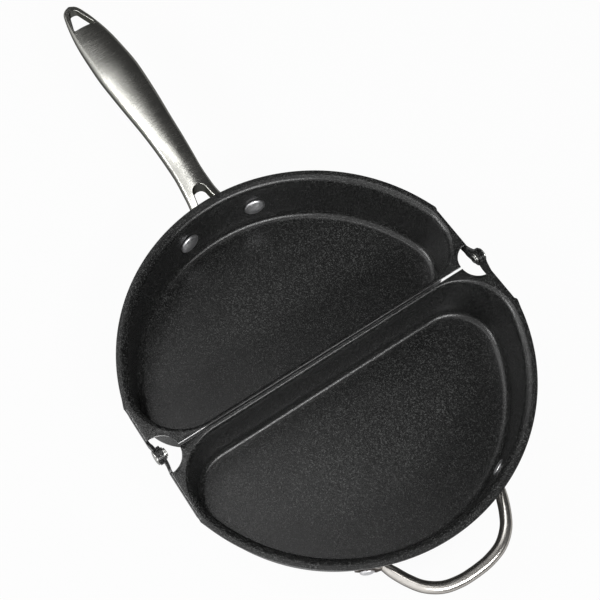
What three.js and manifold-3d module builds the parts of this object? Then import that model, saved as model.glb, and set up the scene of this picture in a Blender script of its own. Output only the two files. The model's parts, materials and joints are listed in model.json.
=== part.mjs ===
// Folding omelette pan: two identical pressed halves that meet along a straight seam.
// Ears bent from the rim of each half overlap at both ends of the seam and turn on two rivets,
// so the half with the small loop handle swings up and over the half with the long handle.
// Millimetres, +Z up, X along the hinge line, the long handle out along +Y.

import * as THREE from 'three';
import { mergeVertices } from 'three/addons/utils/BufferGeometryUtils.js';
import Module from 'manifold-3d';

const wasm = await Module();
wasm.setup();

// Driving sizes of the pressed sheet and of the gaps between pieces
const sheet = 1.8;
const runningGap = 0.3;
const seatGap = 0.2;
const overrun = 8;

// Rim of one half, in the half's own frame: the seam lies on X and the half spreads towards +Y
const rimRadius = 117.5;
const rimCentre = 7.6;
const rimEnd = rimCentre + rimRadius;
const lipSetback = 0.6;
const flatInset = 4.3;
const flatDistance = rimRadius - flatInset;
const cornerProud = 0.6;
const cornerRun = 4;
const bendRadius = 2.4;
const skirtDepth = 7;
const skirtFade = 12;
const notchRadius = 11.5;
const notchInset = 2;
const notchPlace = flatDistance - notchInset;

// Well pressed into the half: a D with round corners, drafted walls and a rounded floor edge
const flangeWidth = 5.2;
const wellRadius = rimRadius - flangeWidth;
const seamWall = 3.7;
const wellCorner = 30;
const wellDepth = 41;
const shoulderRadius = 2.6;
const floorRadius = 7;
const roundDraft = 2.3;
const seamDraft = 1.4;

// Hinge ears and hinge rivets
const pivotRise = 2;
const eyeRadius = 5.1;
const earRoot = 13;
const strapTop = -0.4;
const strapEnd = 9.5;
const earJog = 0.6;
const jogStart = 10;
const jogEnd = 6;
const pinRadius = 2;
const pinHeadRadius = 4.5;
const pinHeadHeight = 1.5;
const pinEndRadius = 2.7;
const pinEndHeight = 1;
const washerRadius = 3.6;
const washerThickness = 0.8;

// Long handle: its route, widths and depths, and the plate that is riveted to the wall
const handleSink = 6.1;
const handleStart = rimEnd - handleSink;
const handleLength = 193;
const handleTip = handleStart + handleLength;
const handleLow = -20;
const handleHigh = -2.6;
const gripHalfWidth = 14.2;
const gripCrown = 5;
const gripDepth = 7;
const forkHalfWidth = 4.6;
const forkLength = 21.2;
const forkTop = handleStart + forkLength;
const forkFlare = 9;
const plateHalfSpan = 33;
const plateHalfHeight = 9.5;
const plateThickness = 3;
const hangHoleLength = 19.5;
const hangHoleMargin = 5;
const hangHoleStart = handleTip - hangHoleMargin - hangHoleLength;
const hangHoleHalfWidth = 7.4;
const hangHoleCorner = 1.6;
const hangHoleTipRadius = 3;

// Rivets of the long handle
const handleRivetSpan = 24.5;
const handleRivetHeight = -20;
const rivetHeadRadius = 7;
const rivetHeadHeight = 2.8;
const rivetShankRadius = 3;
const rivetTailRadius = 5.2;
const rivetTailHeight = 2;

// Loop handle: a round rod whose ends are flattened to riveted ears
const loopStandOff = 20.3;
const loopReach = rimEnd + loopStandOff;
const loopHeight = -20;
const rodRadius = 3.5;
const loopRivetSpan = 47.5;
const loopEarRadius = 7.5;
const loopEarThickness = 3;
const loopEarLength = 9;
const loopRivetHeadRadius = 5.2;
const loopRivetHeadHeight = 1.6;
const loopRivetShankRadius = 2.4;
const loopRivetTailRadius = 4.2;
const loopRivetTailHeight = 2.2;

// Edge height that the domed heads keep at their rim
const headEdge = 0.5;

// Counts that set how finely the round stretches are divided
const arcSteps = 48;
const cornerSteps = 8;
const shoulderSteps = 3;
const floorSteps = 5;
const turnSteps = 24;
const domeSteps = 4;
const handleSteps = 38;
const rodSides = 12;
const rodSteps = 44;

const material = (color, roughness, metalness) =>
  new THREE.MeshStandardMaterial({ color, roughness, metalness });
const coating = material(0x2a2a2a, 0.55, 0.2);
const brushedSteel = material(0xb8b8b2, 0.32, 1);
const polishedSteel = material(0xc9c6bd, 0.16, 1);
const satinRivet = material(0xb4b5b6, 0.35, 1);
const hingeSteel = material(0x9a9a94, 0.4, 1);

// A geometry with shared vertices and no collapsed triangles
function welded(geometry) {
  const bare = geometry.clone();
  bare.deleteAttribute('normal');
  bare.deleteAttribute('uv');
  const merged = mergeVertices(bare);
  const corners = merged.index.array;
  const kept = [];
  for (let i = 0; i < corners.length; i += 3) {
    const [a, b, c] = corners.subarray(i, i + 3);
    if (a !== b && b !== c && c !== a) kept.push(a, b, c);
  }
  merged.setIndex(kept);
  return merged;
}

function toSolid(geometry) {
  const shape = welded(geometry);
  const vertProperties = new Float32Array(shape.attributes.position.array);
  const triVerts = new Uint32Array(shape.index.array);
  return new wasm.Manifold(new wasm.Mesh({ numProp: 3, vertProperties, triVerts }));
}

function toGeometry(solid) {
  const mesh = solid.getMesh();
  const geometry = new THREE.BufferGeometry();
  geometry.setAttribute('position', new THREE.BufferAttribute(mesh.vertProperties, 3));
  geometry.setIndex(new THREE.BufferAttribute(mesh.triVerts, 1));
  geometry.computeVertexNormals();
  return geometry;
}

// A closed skin through rings of equally many points, with both end rings capped
function loft(rings) {
  const count = rings[0].length;
  const positions = rings.flat().flatMap((point) => point.toArray());
  const index = [];
  for (let r = 0; r + 1 < rings.length; r += 1) {
    for (let p = 0; p < count; p += 1) {
      const next = (p + 1) % count;
      const low = r * count;
      const high = low + count;
      index.push(low + p, low + next, high + next, low + p, high + next, high + p);
    }
  }
  const top = (rings.length - 1) * count;
  for (let p = 1; p + 1 < count; p += 1) {
    index.push(0, p + 1, p);
    index.push(top, top + p, top + p + 1);
  }
  const geometry = new THREE.BufferGeometry();
  geometry.setAttribute('position', new THREE.Float32BufferAttribute(positions, 3));
  geometry.setIndex(index);
  return geometry;
}

// Points of an arc in the plane z, without its last point
function arcPoints(x, y, radius, from, to, steps, z) {
  const points = [];
  for (let i = 0; i < steps; i += 1) {
    const angle = from + ((to - from) * i) / steps;
    points.push(new THREE.Vector3(x + radius * Math.cos(angle), y + radius * Math.sin(angle), z));
  }
  return points;
}

// One level line of the D: a large arc, two round corners and a straight side along the seam
function wellRing(radius, side, corner, z) {
  const cornerY = side + corner;
  const cornerX = Math.sqrt((radius - corner) ** 2 - (cornerY - rimCentre) ** 2);
  const turn = Math.atan2(cornerY - rimCentre, cornerX);
  return [
    ...arcPoints(cornerX, cornerY, corner, -Math.PI / 2, turn, cornerSteps, z),
    ...arcPoints(0, rimCentre, radius, turn, Math.PI - turn, arcSteps, z),
    ...arcPoints(-cornerX, cornerY, corner, Math.PI - turn, (3 * Math.PI) / 2, cornerSteps, z),
    new THREE.Vector3(-cornerX, side, z),
  ];
}

// How far down the drafted wall a height lies, from 0 under the shoulder to 1 at the floor's round
function draftShare(z) {
  return (-z - shoulderRadius) / (wellDepth - floorRadius - shoulderRadius);
}

// The wall's level line at a height, moved outwards by grow
function wallRing(z, grow, share = draftShare(z)) {
  const radius = wellRadius - roundDraft * share + grow;
  const side = seamWall + seamDraft * share - grow;
  return wellRing(radius, side, wellCorner - roundDraft * share + grow, z);
}

// Rings of the floor's rounded edge, from the floor up to the wall
function floorRings(grow) {
  const radius = floorRadius + grow;
  const rings = [];
  for (let i = 0; i < floorSteps; i += 1) {
    const angle = (Math.PI / 2) * (1 - i / floorSteps);
    const z = -(wellDepth - floorRadius) - radius * Math.sin(angle);
    rings.push(wallRing(z, grow - radius * (1 - Math.cos(angle)), 1));
  }
  return rings;
}

function wellHollow() {
  const rings = [...floorRings(0), wallRing(-(wellDepth - floorRadius), 0)];
  for (let i = 0; i <= shoulderSteps; i += 1) {
    const angle = (Math.PI / 2) * (1 - i / shoulderSteps);
    const grow = shoulderRadius * (1 - Math.sin(angle));
    rings.push(wallRing(-shoulderRadius * (1 - Math.cos(angle)), grow, 0));
  }
  rings.push(wallRing(overrun, shoulderRadius, 0));
  return toSolid(loft(rings));
}

function wellShell() {
  const rings = [
    ...floorRings(sheet),
    wallRing(-(wellDepth - floorRadius), sheet),
    wallRing(-shoulderRadius, sheet),
    wallRing(-sheet / 2, sheet, 0),
  ];
  return toSolid(loft(rings));
}

// The two ears of a hinge lie side by side, so the flats of a half differ by a sheet and a gap
const earLap = (sheet + runningGap) / 2;

// Outer face of the flat at one end and the corner where it meets the round rim
function flatAt(end) {
  const x = flatDistance - end * earLap;
  return { x, y: rimCentre + Math.sqrt(rimRadius ** 2 - x ** 2) };
}

// Flat rim with a short proud corner at the far end of each bent stretch
function rimPlate() {
  const right = flatAt(1);
  const left = flatAt(-1);
  const joinAngle = (flat) => Math.asin((flat.y + cornerRun - rimCentre) / rimRadius);
  const outline = new THREE.Shape();
  outline.moveTo(bendRadius - left.x, lipSetback);
  outline.lineTo(right.x - bendRadius, lipSetback);
  outline.lineTo(right.x - bendRadius, right.y - cornerRun);
  outline.lineTo(right.x + cornerProud, right.y);
  outline.absarc(0, rimCentre, rimRadius, joinAngle(right), Math.PI - joinAngle(left), false);
  outline.lineTo(-cornerProud - left.x, left.y);
  outline.lineTo(bendRadius - left.x, left.y - cornerRun);
  const plate = new THREE.ExtrudeGeometry(outline, {
    depth: sheet, bevelEnabled: false, curveSegments: arcSteps / 2,
  });
  return toSolid(plate.translate(0, 0, -sheet));
}

// Rim bent down along the flat at one end of the seam; end is 1 on the +X end and -1 on the other
function skirt(end) {
  const flat = flatAt(end);
  const bendStart = flat.x - bendRadius;
  const profile = new THREE.Shape();
  profile.moveTo(bendStart - sheet, -sheet);
  profile.lineTo(bendStart, -sheet);
  profile.absarc(bendStart, -bendRadius, bendRadius - sheet, Math.PI / 2, 0, true);
  profile.lineTo(flat.x - sheet, -skirtDepth);
  profile.lineTo(flat.x, -skirtDepth);
  profile.absarc(bendStart, -bendRadius, bendRadius, 0, Math.PI / 2, false);
  profile.lineTo(bendStart - sheet, 0);
  const strip = new THREE.ExtrudeGeometry(profile, {
    depth: flat.y - lipSetback, bevelEnabled: false, curveSegments: cornerSteps / 2,
  });
  strip.rotateX(Math.PI / 2).translate(0, flat.y, 0);
  if (end < 0) strip.rotateZ(Math.PI).translate(0, flat.y + lipSetback, 0);
  const side = new THREE.Shape();
  side.moveTo(-overrun, overrun);
  side.lineTo(-overrun, -skirtDepth);
  side.lineTo(flat.y - skirtFade, -skirtDepth);
  side.quadraticCurveTo(flat.y - cornerRun, -skirtDepth, flat.y, -bendRadius);
  side.lineTo(flat.y + overrun, overrun);
  return toSolid(strip).intersect(sideways(side, end * flat.x));
}

// Outline drawn in y and z, made into a block that reaches an overrun to both sides of x
function sideways(outline, x) {
  const block = new THREE.ExtrudeGeometry(outline, {
    depth: 2 * overrun, bevelEnabled: false, curveSegments: turnSteps / 2,
  });
  const alongX = new THREE.Matrix4().makeBasis(
    new THREE.Vector3(0, 1, 0), new THREE.Vector3(0, 0, 1), new THREE.Vector3(1, 0, 0),
  );
  return toSolid(block.applyMatrix4(alongX).translate(x - overrun, 0, 0));
}

function notch(end) {
  const height = 2 * (skirtDepth + overrun);
  const cut = new THREE.CylinderGeometry(notchRadius, notchRadius, height, 2 * turnSteps);
  return toSolid(cut.rotateX(Math.PI / 2).translate(end * notchPlace, 0, 0));
}

// Angle on the eye's circle where the straight edge from a point touches it
function tangentAngle(y, z, side) {
  const reach = Math.hypot(y, z - pivotRise);
  return Math.atan2(z - pivotRise, y) + side * Math.acos(eyeRadius / reach);
}

// Hinge ear: the skirt carried on past the notch, stepped inwards and ending in a round eye
function ear(end) {
  const flat = flatAt(end);
  const face = new THREE.Shape();
  const over = tangentAngle(strapEnd, strapTop, 1);
  const under = tangentAngle(earRoot, -skirtDepth, -1);
  face.moveTo(earRoot, -bendRadius);
  face.lineTo(strapEnd, strapTop);
  face.absarc(0, pivotRise, eyeRadius, over, under, false);
  face.lineTo(earRoot, -skirtDepth);
  const route = [[0, earRoot + overrun], [0, jogStart], [earJog, jogEnd], [earJog, -overrun]];
  const outer = route.map(([inset, y]) => new THREE.Vector2(end * (flat.x - inset), y));
  const inner = route.map(([inset, y]) => new THREE.Vector2(end * (flat.x - inset - sheet), y));
  const strap = new THREE.ExtrudeGeometry(new THREE.Shape([...outer, ...inner.reverse()]), {
    depth: 2 * (skirtDepth + overrun), bevelEnabled: false,
  });
  strap.translate(0, 0, -(skirtDepth + overrun));
  const holeRadius = pinRadius + runningGap;
  const hole = new THREE.CylinderGeometry(holeRadius, holeRadius, 2 * overrun, turnSteps);
  hole.rotateZ(Math.PI / 2).translate(end * flat.x, 0, pivotRise);
  return sideways(face, end * flat.x).intersect(toSolid(strap)).subtract(toSolid(hole));
}

// Place on the inner face of the round wall and the direction square to the wall, out of the well
function wallSeat(across, height) {
  const radius = wellRadius - roundDraft * draftShare(height);
  const angle = Math.asin(across / radius);
  const tilt = Math.atan(roundDraft / (wellDepth - floorRadius - shoulderRadius));
  const outward = new THREE.Vector3(Math.sin(angle), Math.cos(angle), -Math.tan(tilt)).normalize();
  const point = new THREE.Vector3(across, rimCentre + radius * Math.cos(angle), height);
  return { point, turn: new THREE.Quaternion().setFromUnitVectors(new THREE.Vector3(0, 1, 0), outward) };
}

// Straight hole through the wall and what is riveted to it
function rivetHole(across, height, shankRadius) {
  const seat = wallSeat(across, height);
  const radius = shankRadius + runningGap;
  const hole = new THREE.CylinderGeometry(radius, radius, 2 * overrun, turnSteps);
  hole.applyMatrix4(new THREE.Matrix4().compose(seat.point, seat.turn, new THREE.Vector3(1, 1, 1)));
  return toSolid(hole);
}

// Half of the pan with the rivet holes that its handle needs
function panHalf(holes) {
  let half = rimPlate().add(skirt(1)).add(skirt(-1));
  half = half.subtract(notch(1)).subtract(notch(-1));
  half = half.add(wellShell()).add(ear(1)).add(ear(-1)).subtract(wellHollow());
  for (const hole of holes) half = half.subtract(hole);
  return toGeometry(half);
}

// The round wall's outer face as a full cone, moved outwards by grow
function wallCone(grow) {
  const low = -(wellDepth - floorRadius);
  const radiusAt = (z) => wellRadius - roundDraft * draftShare(z) + sheet + grow;
  const profile = [[0, low], [radiusAt(low), low], [radiusAt(0), 0], [0, 0]];
  const cone = new THREE.LatheGeometry(profile.map(([r, z]) => new THREE.Vector2(r, z)), 4 * turnSteps);
  return toSolid(cone.rotateX(Math.PI / 2).translate(0, rimCentre, 0));
}

// Part of a shell of the given thickness on the wall that lies behind an outline drawn in x and z
function wallPlate(outline, thickness) {
  const stamp = new THREE.ExtrudeGeometry(outline, {
    depth: rimEnd + overrun, bevelEnabled: false, curveSegments: cornerSteps,
  });
  stamp.rotateX(Math.PI / 2).translate(0, rimEnd + overrun, 0);
  return toSolid(stamp).intersect(wallCone(seatGap + thickness));
}

// Domed end of a rivet: radius and height pairs from the rim to the axis, on the side given
function dome(base, radius, height, side) {
  const points = [];
  for (let i = 0; i <= domeSteps; i += 1) {
    const angle = ((Math.PI / 2) * i) / domeSteps;
    const rise = headEdge + (height - headEdge) * Math.sin(angle);
    points.push(new THREE.Vector2(radius * Math.cos(angle), base + side * rise));
  }
  points[domeSteps].x = 0;
  return points;
}

// Rivet on the Y axis: a head that starts at headBase, a shank and a tail that starts at tailBase
function rivet(head, shankRadius, tail, headBase, tailBase) {
  const profile = [
    ...dome(headBase, head.radius, head.height, -1).reverse(),
    new THREE.Vector2(head.radius, headBase),
    new THREE.Vector2(shankRadius, headBase),
    new THREE.Vector2(shankRadius, tailBase),
    new THREE.Vector2(tail.radius, tailBase),
    ...dome(tailBase, tail.radius, tail.height, 1),
  ];
  return welded(new THREE.LatheGeometry(profile, turnSteps));
}

// Shares along the long handle: length, height between its low and high ends, width, thickness
const handleShares = [
  [0.000, 0.00, 1.08, 0.86],
  [0.050, 0.03, 0.91, 0.85],
  [0.100, 0.10, 0.77, 0.84],
  [0.146, 0.25, 0.71, 0.84],
  [0.188, 0.42, 0.68, 0.84],
  [0.234, 0.60, 0.70, 0.84],
  [0.300, 0.78, 0.74, 0.84],
  [0.385, 0.89, 0.80, 0.88],
  [0.493, 0.97, 0.91, 0.95],
  [0.602, 1.00, 0.99, 1.00],
  [0.659, 0.99, 1.00, 1.00],
  [0.726, 0.94, 0.96, 0.95],
  [0.794, 0.88, 0.90, 0.86],
  [0.856, 0.81, 0.80, 0.74],
  [0.918, 0.73, 0.65, 0.60],
  [0.953, 0.67, 0.54, 0.53],
  [0.977, 0.63, 0.45, 0.49],
  [0.991, 0.61, 0.34, 0.47],
  [0.998, 0.60, 0.19, 0.45],
  [1.000, 0.60, 0.05, 0.44],
];

// Shares of the half width and of the crown or depth around one section of the handle
const sectionShares = [
  [1.00, 0.00], [0.97, 0.36], [0.84, 0.64], [0.60, 0.85], [0.31, 0.97],
  [0.00, 1.00], [-0.31, 0.97], [-0.60, 0.85], [-0.84, 0.64], [-0.97, 0.36],
  [-1.00, 0.00], [-0.95, -0.45], [-0.80, -0.84], [-0.45, -1.00],
  [0.45, -1.00], [0.80, -0.84], [0.95, -0.45],
];

function handleRing(share) {
  const places = new THREE.SplineCurve(handleShares.map(([along, rise]) => new THREE.Vector2(along, rise)));
  const sizes = new THREE.SplineCurve(handleShares.map((row) => new THREE.Vector2(row[2], row[3])));
  const place = places.getPoint(share);
  const size = sizes.getPoint(share);
  const y = THREE.MathUtils.lerp(handleStart, handleTip, place.x);
  const z = THREE.MathUtils.lerp(handleLow, handleHigh, place.y);
  return sectionShares.map(([across, up]) => {
    const tall = (up > 0 ? gripCrown : gripDepth) * size.y;
    return new THREE.Vector3(-across * gripHalfWidth * size.x, y, z + up * tall);
  });
}

// Opening between the two arms that carry the long handle
function forkOpening() {
  const outline = new THREE.Shape();
  outline.moveTo(-forkFlare, handleStart - overrun);
  outline.lineTo(forkFlare, handleStart - overrun);
  outline.lineTo(forkFlare, handleStart);
  outline.absarc(0, forkTop, forkHalfWidth, 0, Math.PI, false);
  outline.lineTo(-forkFlare, handleStart);
  return outline;
}

// Hanging hole: straight across towards the pan and narrowing to a round end at the tip
function hangOpening() {
  const tipY = hangHoleStart + hangHoleLength - hangHoleTipRadius;
  const baseY = hangHoleStart + hangHoleCorner;
  const baseX = hangHoleHalfWidth - hangHoleCorner;
  const lean = Math.atan2(baseX, tipY - baseY);
  const outline = new THREE.Shape();
  outline.absarc(baseX, baseY, hangHoleCorner, -Math.PI / 2, lean, false);
  outline.absarc(0, tipY, hangHoleTipRadius, lean, Math.PI - lean, false);
  outline.absarc(-baseX, baseY, hangHoleCorner, Math.PI - lean, (3 * Math.PI) / 2, false);
  return outline;
}

// Straight cut up through the handle along an outline drawn in plan
function cutThrough(outline) {
  const cut = new THREE.ExtrudeGeometry(outline, {
    depth: -2 * handleLow, bevelEnabled: false, curveSegments: cornerSteps,
  });
  return toSolid(cut.translate(0, 0, 2 * handleLow));
}

function platePattern() {
  const straight = plateHalfSpan - plateHalfHeight;
  const outline = new THREE.Shape();
  outline.absarc(straight, handleRivetHeight, plateHalfHeight, -Math.PI / 2, Math.PI / 2, false);
  outline.absarc(-straight, handleRivetHeight, plateHalfHeight, Math.PI / 2, (3 * Math.PI) / 2, false);
  return outline;
}

function longHandle() {
  const rings = [];
  for (let i = 0; i <= handleSteps; i += 1) rings.push(handleRing(i / handleSteps));
  let handle = toSolid(loft(rings));
  handle = handle.subtract(cutThrough(forkOpening())).subtract(cutThrough(hangOpening()));
  handle = handle.add(wallPlate(platePattern(), plateThickness)).subtract(wallCone(seatGap));
  for (const hole of handleHoles) handle = handle.subtract(hole);
  return toGeometry(handle);
}

// Shares of the rivet span and of the loop's reach past the wall, from its middle to one end
const loopShares = [
  [0.00, 1.000], [0.20, 0.984], [0.41, 0.910], [0.57, 0.760],
  [0.68, 0.565], [0.78, 0.330], [0.87, 0.115], [0.93, -0.04],
];

function loopRoute() {
  const wallReach = wallSeat(loopRivetSpan, loopHeight).point.y;
  const half = loopShares.map(([across, out]) => new THREE.Vector3(
    across * loopRivetSpan, THREE.MathUtils.lerp(wallReach, loopReach, out), loopHeight,
  ));
  const mirrored = half.slice(1).map((p) => new THREE.Vector3(-p.x, p.y, p.z));
  return new THREE.CatmullRomCurve3([...mirrored.reverse(), ...half]);
}

// Flattened end of the rod: a round ear about the rivet with a neck towards the loop
function loopEarPattern(side) {
  const outline = new THREE.Shape();
  const neck = side * (loopRivetSpan - loopEarLength);
  outline.moveTo(neck, loopHeight - rodRadius);
  outline.lineTo(neck, loopHeight + rodRadius);
  outline.lineTo(side * loopRivetSpan, loopHeight + loopEarRadius);
  outline.absarc(side * loopRivetSpan, loopHeight, loopEarRadius, Math.PI / 2, -Math.PI / 2, side > 0);
  return outline;
}

function loopHandle() {
  const section = new THREE.Shape();
  section.absarc(0, 0, rodRadius, 0, 2 * Math.PI, false);
  const rod = new THREE.ExtrudeGeometry(section, {
    steps: rodSteps, curveSegments: rodSides / 2, extrudePath: loopRoute(), bevelEnabled: false,
  });
  let handle = toSolid(rod);
  for (const side of [-1, 1]) handle = handle.add(wallPlate(loopEarPattern(side), loopEarThickness));
  handle = handle.subtract(wallCone(seatGap));
  for (const hole of loopHoles) handle = handle.subtract(hole);
  return toGeometry(handle);
}

function addPiece(parent, name, geometry, finish) {
  const mesh = new THREE.Mesh(geometry, finish);
  mesh.name = name;
  parent.add(mesh);
  return mesh;
}

// Rivet square through the wall, with its large head inside the well
function addWallRivet(parent, name, across, height, head, shankRadius, tail, plate) {
  const seat = wallSeat(across, height);
  const inner = seat.point.y - rimCentre;
  const hollowOfWall = head.radius ** 2 / (2 * inner);
  const geometry = rivet(head, shankRadius, tail, -(hollowOfWall + seatGap), sheet + plate + 2 * seatGap);
  const mesh = addPiece(parent, name, geometry, satinRivet);
  mesh.position.copy(seat.point);
  mesh.quaternion.copy(seat.turn);
}

// Hinge rivet and its washer: the head lies outside the outer ear, the washer inside the inner one
function addHingeRivet(parent, word, end) {
  const innerFace = flatAt(1).x - earJog - sheet;
  const outerFace = innerFace + 2 * sheet + runningGap;
  const washerFace = innerFace - seatGap - washerThickness;
  const innerEnd = { radius: pinEndRadius, height: pinEndHeight };
  const outerHead = { radius: pinHeadRadius, height: pinHeadHeight };
  const geometry = rivet(innerEnd, pinRadius, outerHead, washerFace - seatGap, outerFace + seatGap);
  const pin = addPiece(parent, `hinge_rivet_${word}`, geometry, hingeSteel);
  const ring = [
    [pinRadius + runningGap, washerFace], [washerRadius, washerFace],
    [washerRadius, washerFace + washerThickness], [pinRadius + runningGap, washerFace + washerThickness],
    [pinRadius + runningGap, washerFace],
  ];
  const washerGeometry = new THREE.LatheGeometry(ring.map(([r, x]) => new THREE.Vector2(r, x)), turnSteps);
  const washer = addPiece(parent, `hinge_washer_${word}`, welded(washerGeometry), hingeSteel);
  for (const piece of [pin, washer]) {
    piece.rotation.z = (-end * Math.PI) / 2;
    piece.position.z = pivotRise;
  }
}

const holePair = (span, height, radius) => [-1, 1].map((side) => rivetHole(side * span, height, radius));
const handleHoles = holePair(handleRivetSpan, handleRivetHeight, rivetShankRadius);
const loopHoles = holePair(loopRivetSpan, loopHeight, loopRivetShankRadius);
const handleHead = { radius: rivetHeadRadius, height: rivetHeadHeight };
const handleTail = { radius: rivetTailRadius, height: rivetTailHeight };
const loopHead = { radius: loopRivetHeadRadius, height: loopRivetHeadHeight };
const loopTail = { radius: loopRivetTailRadius, height: loopRivetTailHeight };

const base = new THREE.Group();
addPiece(base, 'base_half', panHalf(handleHoles), coating);
addPiece(base, 'long_handle', longHandle(), brushedSteel);
for (const [word, side] of [['left', -1], ['right', 1]]) {
  addWallRivet(
    base, `long_handle_rivet_${word}`, side * handleRivetSpan, handleRivetHeight,
    handleHead, rivetShankRadius, handleTail, plateThickness,
  );
}

// The flip half is the same half turned about, so its own left end lies at the pan's right
const flip = new THREE.Group();
flip.rotation.z = Math.PI;
addPiece(flip, 'flip_half', panHalf(loopHoles), coating);
addPiece(flip, 'loop_handle', loopHandle(), polishedSteel);
for (const [word, side] of [['left', 1], ['right', -1]]) {
  addWallRivet(
    flip, `loop_handle_rivet_${word}`, side * loopRivetSpan, loopHeight,
    loopHead, loopRivetShankRadius, loopTail, loopEarThickness,
  );
}

const hinge = new THREE.Group();
addHingeRivet(hinge, 'left', -1);
addHingeRivet(hinge, 'right', 1);

// The origin is the middle of the pan's outline in plan, at the level of the surface it stands on
const pan = new THREE.Group();
pan.add(base, flip, hinge);
const extent = new THREE.Box3().setFromObject(pan);
const middle = extent.getCenter(new THREE.Vector3());
pan.position.set(-middle.x, -middle.y, -extent.min.z);

export default pan;
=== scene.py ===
# %% [markdown]
# # A folding omelette pan, piece by piece
# The pan is two pressed D-shaped wells with a dark non-stick coating, hinged at both ends of
# their straight edges. One well carries a long steel handle, the other a small steel loop.
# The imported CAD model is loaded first. Every piece made here stands where the CAD piece of the
# same kind stands, so the model still folds about the same hinge.

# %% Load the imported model
import json
import math
import bmesh
import bpy
import numpy as np
from mathutils import Matrix, Vector


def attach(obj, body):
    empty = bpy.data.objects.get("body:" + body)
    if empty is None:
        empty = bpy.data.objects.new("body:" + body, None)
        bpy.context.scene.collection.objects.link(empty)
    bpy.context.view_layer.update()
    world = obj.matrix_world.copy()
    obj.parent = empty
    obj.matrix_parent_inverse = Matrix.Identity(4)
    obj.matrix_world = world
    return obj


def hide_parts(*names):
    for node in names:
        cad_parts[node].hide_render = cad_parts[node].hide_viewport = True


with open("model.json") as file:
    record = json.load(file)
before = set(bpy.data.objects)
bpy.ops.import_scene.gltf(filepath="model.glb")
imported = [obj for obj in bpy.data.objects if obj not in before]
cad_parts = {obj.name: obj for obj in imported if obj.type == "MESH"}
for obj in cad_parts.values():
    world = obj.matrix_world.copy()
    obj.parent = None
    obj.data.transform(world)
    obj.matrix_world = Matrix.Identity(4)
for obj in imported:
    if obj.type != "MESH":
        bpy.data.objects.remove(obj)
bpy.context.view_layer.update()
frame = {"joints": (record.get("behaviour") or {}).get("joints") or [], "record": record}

# %% [markdown]
# Sizes are millimetres in the frame that a pan maker would use: X runs along the hinge line, Y
# away from the seam, and Z is zero at the top of the rim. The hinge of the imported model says
# where that frame lies. Blender works in metres, so every piece is scaled last.

# %% From the maker's millimetres to the model's metres
MILLIMETRE = 0.001
PIVOT_RISE = 2.0
hinge_point = np.array(frame["joints"][0]["pos_m"])
rim_origin = hinge_point - np.array([0.0, 0.0, PIVOT_RISE * MILLIMETRE])
HALF_TURN = np.array([-1.0, -1.0, 1.0])


def to_metres(points, turned=False):
    """The points moved into the model's frame, after half a turn about Z for the flip side."""
    return points * (HALF_TURN if turned else 1.0) * MILLIMETRE + rim_origin


print("the rim's origin lies at", rim_origin.round(5))

# %% [markdown]
# Every shape below is a grid of points worked out with numpy. One helper joins the neighbours
# of a grid into four-cornered cells. Another turns several grids into one mesh and merges the
# points that fall on the same place, such as a shared edge or the pole of a dome.

# %% Grids to meshes
WELD = 2e-6


def cells(rows, columns, closed=False):
    """Corner numbers of each cell of a grid; closed joins the last column to the first."""
    number = np.arange(rows * columns).reshape(rows, columns)
    if closed:
        number = np.hstack([number, number[:, :1]])
    corners = number[:-1, :-1], number[:-1, 1:], number[1:, 1:], number[1:, :-1]
    return np.stack(corners, axis=-1).reshape(-1, 4)


def mesh_of(name, patches, turned=False):
    """One welded mesh from (grid, closed) pairs; a grid is an array of rows, columns, x y z."""
    grids = [grid.reshape(-1, 3) for grid, closed in patches]
    starts = np.cumsum([0] + [len(grid) for grid in grids])
    quads = [cells(*grid.shape[:2], closed) + start
             for (grid, closed), start in zip(patches, starts)]
    mesh = bpy.data.meshes.new(name)
    mesh.from_pydata(to_metres(np.concatenate(grids), turned), [], np.concatenate(quads).tolist())
    work = bmesh.new()
    work.from_mesh(mesh)
    bmesh.ops.remove_doubles(work, verts=work.verts, dist=WELD)
    bmesh.ops.recalc_face_normals(work, faces=work.faces)
    work.to_mesh(mesh)
    work.free()
    return mesh


def add_object(name, data):
    """A new object in the scene that shows a mesh, a lamp or a camera."""
    thing = bpy.data.objects.new(name, data)
    bpy.context.scene.collection.objects.link(thing)
    return thing


def add_piece(name, mesh, node, finish, sharp=40.0):
    """Puts the mesh into the scene in place of a CAD node, on that node's body."""
    mesh.shade_smooth()
    mesh.set_sharp_from_angle(angle=math.radians(sharp))
    mesh.materials.append(finish)
    piece = add_object(name, mesh)
    body = next(b for b, nodes in frame["record"]["behaviour"]["bodies"].items() if node in nodes)
    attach(piece, body)
    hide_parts(node)
    print(f"{name}: {len(mesh.vertices)} points, {len(mesh.polygons)} faces, rides on {body}")
    return piece


# %% [markdown]
# ## Finishes
# A material is a small network of nodes. Its patterns read Object coordinates, which are the
# model's metres, so a grain of half a millimetre is a Noise texture with a scale of 2000. A
# noise rarely leaves the middle of its range, which is NOISE_SPAN.

# %% Node helpers
WHITE = (1.0, 1.0, 1.0)
NOISE_SPAN, NOISE_DETAIL = (0.3, 0.7), 3.0


def new_finish(name):
    """A fresh node material, its tree and its shader."""
    finish = bpy.data.materials.new(name)
    finish.use_nodes = True
    return finish, finish.node_tree, finish.node_tree.nodes["Principled BSDF"]


def set_inputs(tree, node, inputs):
    """Each named input linked to another node's output, or given a plain value."""
    for word, value in inputs.items():
        socket = node.inputs[word]
        if isinstance(value, bpy.types.NodeSocket):
            tree.links.new(value, socket)
        else:
            socket.default_value = (*value, 1.0) if socket.type == "RGBA" else value


def add_node(tree, kind, inputs):
    """The outputs of a new node with its inputs filled in."""
    node = tree.nodes.new("ShaderNode" + kind)
    set_inputs(tree, node, inputs)
    return node.outputs


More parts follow.
